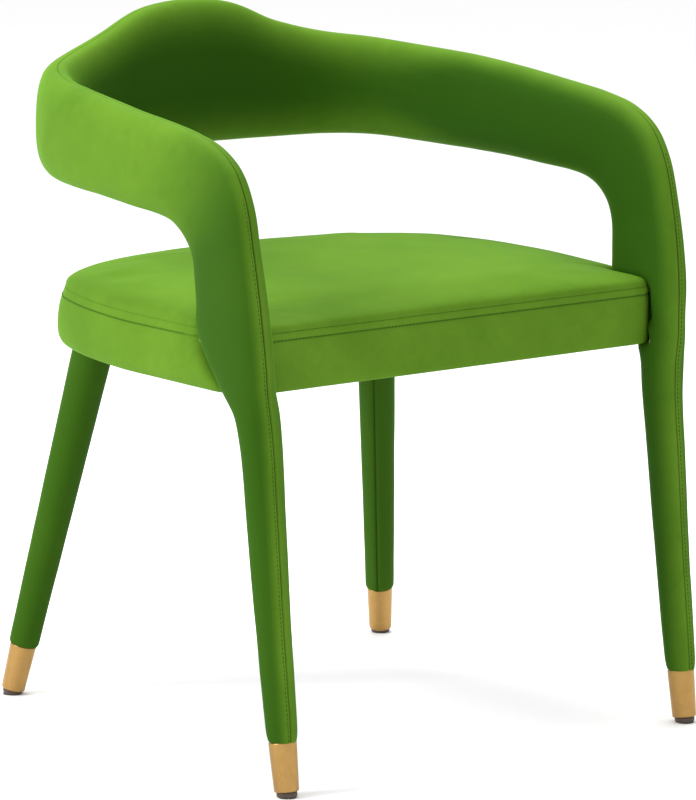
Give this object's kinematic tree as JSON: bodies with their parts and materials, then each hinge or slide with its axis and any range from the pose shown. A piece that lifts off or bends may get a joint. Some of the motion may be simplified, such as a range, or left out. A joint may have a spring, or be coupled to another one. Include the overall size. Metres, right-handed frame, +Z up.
{
  "type": "dining chair",
  "caption": "Upholstered dining armchair: a padded band runs from the back through the arms into the front legs, with a crowned seat and metal-tipped legs.",
  "frame": {"origin": "centre of the footprint, on the floor", "axes": "+Z up, the front of the chair faces -Y, +X is the sitter's left"},
  "size_m": [0.603, 0.6086, 0.765],
  "materials": {
    "velvet": "short pile velvet",
    "foam": "open-cell foam",
    "lining": "non-woven lining",
    "frame_wood": "planed hardwood",
    "plywood": "sanded plywood",
    "brass": "brushed",
    "glide_plastic": "moulded",
    "steel": "zinc plated"
  },
  "bodies": {
    "root": {"arm_bolt_inserts": "steel", "arm_bolt_washers": "steel", "arm_bolts": "steel", "back_foam": "foam", "back_frame": "frame_wood", "band_inner_cloth": "velvet", "band_outer_cloth": "velvet", "corner_block_screws": "steel", "deck_screws": "steel", "dust_cover": "lining", "dust_cover_staples": "steel", "frame_dowels": "frame_wood", "glide_nails": "steel", "left_arm_foam": "foam", "left_arm_frame": "frame_wood", "left_front_corner_block": "frame_wood", "left_front_ferrule": "brass", "left_front_glide": "glide_plastic", "left_front_leg_foam": "foam", "left_post_and_leg": "frame_wood", "left_rear_corner_block": "frame_wood", "left_rear_ferrule": "brass", "left_rear_glide": "glide_plastic", "left_rear_leg": "frame_wood", "left_rear_leg_cloth": "velvet", "left_rear_leg_foam": "foam", "left_side_rail": "frame_wood", "rear_leg_hanger_bolts": "steel", "rear_leg_nuts": "steel", "right_arm_foam": "foam", "right_arm_frame": "frame_wood", "right_front_corner_block": "frame_wood", "right_front_ferrule": "brass", "right_front_glide": "glide_plastic", "right_front_leg_foam": "foam", "right_post_and_leg": "frame_wood", "right_rear_corner_block": "frame_wood", "right_rear_ferrule": "brass", "right_rear_glide": "glide_plastic", "right_rear_leg": "frame_wood", "right_rear_leg_cloth": "velvet", "right_rear_leg_foam": "foam", "right_side_rail": "frame_wood", "seat_deck": "plywood", "seat_foam": "foam", "seat_front_rail": "frame_wood", "seat_rail_dowels": "frame_wood", "seat_rear_rail": "frame_wood", "seat_side_cloth": "velvet", "seat_top_cloth": "velvet"}
  },
  "joints": []
}
